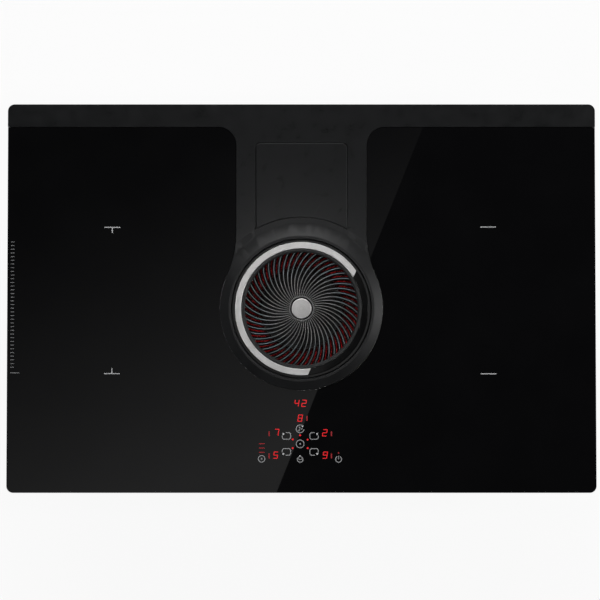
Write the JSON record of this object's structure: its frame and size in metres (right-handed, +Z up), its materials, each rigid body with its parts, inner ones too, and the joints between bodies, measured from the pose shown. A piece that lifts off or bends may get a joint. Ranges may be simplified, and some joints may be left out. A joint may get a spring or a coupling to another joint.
{
  "type": "downdraft induction cooktop",
  "caption": "Flat built-in induction cooktop with a round central air intake, swirl grille, weighing plate, blower and rear outlet below.",
  "frame": {"origin": "centre of the footprint on the base plane", "axes": "+X to the right along the length, +Y to the rear, +Z up"},
  "size_m": [0.78, 0.515, 0.223],
  "materials": {
    "ceramic_glass": "polished black glass ceramic",
    "cast_black": "matt black powder coat on a casting",
    "foam_black": "closed-cell foam",
    "grille_graphite": "satin graphite coat on a casting",
    "satin_trim": "satin turned",
    "gloss_black": "gloss moulded",
    "red_vanes": "moulded",
    "filter_black": "moulded",
    "filter_aluminium": "woven wire",
    "case_grey": "moulded",
    "tray_black": "moulded",
    "volute_black": "moulded",
    "zinc_screw": "zinc plated",
    "impeller_plastic": "moulded",
    "motor_steel": "machined",
    "copper": "enamelled wire",
    "die_cast_aluminium": "bare",
    "galvanised_steel": "galvanised sheet",
    "former_plastic": "moulded",
    "ferrite": "sintered",
    "mica": "pressed sheet",
    "sensor_ceramic": "fired",
    "circuit_board": "solder mask",
    "board_components": "moulded",
    "wire_insulation": "silicone sleeve",
    "cooler_black": "moulded"
  },
  "bodies": {
    "hob": {"glass_plate": "ceramic_glass", "top_casting": "cast_black", "worktop_seal": "foam_black", "load_cell": "die_cast_aluminium", "load_cell_bracket": "galvanised_steel", "suction_duct": "case_grey", "duct_gasket": "foam_black", "plenum_case": "case_grey", "plenum_cover": "case_grey", "inlet_ring": "case_grey", "volute_housing": "volute_black", "volute_cover": "volute_black", "volute_screws": "zinc_screw", "outlet_spigot": "volute_black", "blower_mounts": "foam_black", "motor_stator": "motor_steel", "stator_windings": "copper", "motor_bearings": "motor_steel", "motor_plate": "die_cast_aluminium", "base_pan": "galvanised_steel", "pan_rim": "galvanised_steel", "pan_well": "galvanised_steel", "coil_carriers": "die_cast_aluminium", "carrier_posts": "galvanised_steel", "coil_rear_left": "copper", "coil_front_left": "copper", "coil_rear_right": "copper", "coil_front_right": "copper", "coil_formers": "former_plastic", "ferrite_bars": "ferrite", "mica_sheets": "mica", "coil_sensors": "sensor_ceramic", "power_boards": "circuit_board", "heatsinks": "die_cast_aluminium", "board_parts": "board_components", "wiring": "wire_insulation", "cooling_fan_frames": "cooler_black", "filter_board": "circuit_board", "terminal_block": "former_plastic", "cable_gland": "cooler_black", "touch_board": "circuit_board", "display_modules": "board_components", "touch_carrier": "cooler_black", "clamp_brackets": "galvanised_steel", "pan_screws": "zinc_screw"},
    "grease_filter": {"filter_frame": "filter_black", "filter_mesh": "filter_aluminium", "vane_ring": "red_vanes"},
    "grille_unit": {"grille": "grille_graphite", "hub_cap": "satin_trim", "silver_trim": "satin_trim", "trim_inlay": "gloss_black"},
    "blower_rotor": {"impeller": "impeller_plastic", "motor_rotor": "motor_steel", "motor_shaft": "motor_steel"},
    "cooling_rotor_left": {"cooling_rotor_left": "cooler_black"},
    "cooling_rotor_right": {"cooling_rotor_right": "cooler_black"},
    "drip_tray": {"drip_tray": "tray_black"},
    "weighing_plate": {"weighing_plate": "cast_black", "load_spider": "die_cast_aluminium"}
  },
  "joints": [
    {"name": "filter_lift", "type": "slide", "parent": "hob", "child": "grease_filter", "axis": [0, 0, 1], "range_m": [0, 0.12]},
    {"name": "grille_lift", "type": "slide", "parent": "grease_filter", "child": "grille_unit", "axis": [0, 0, 1], "range_m": [0, 0.1]},
    {"name": "blower_spin", "type": "hinge", "parent": "hob", "child": "blower_rotor", "pos_m": [0.215, 0, 0.1], "axis": [0, 0, 1], "continuous": true},
    {"name": "cooling_spin_left", "type": "hinge", "parent": "hob", "child": "cooling_rotor_left", "pos_m": [-0.3, -0.175, 0.165], "axis": [0, 0, 1], "continuous": true},
    {"name": "cooling_spin_right", "type": "hinge", "parent": "hob", "child": "cooling_rotor_right", "pos_m": [0.3, -0.175, 0.165], "axis": [0, 0, 1], "continuous": true},
    {"name": "tray_slide", "type": "slide", "parent": "hob", "child": "drip_tray", "axis": [0, -1, 0], "range_m": [0, 0.2]},
    {"name": "weigh_press", "type": "slide", "parent": "hob", "child": "weighing_plate", "axis": [0, 0, -1], "range_m": [0, 0.0003], "stiffness_N_per_m": 20000, "springref_m": -0.0003}
  ]
}
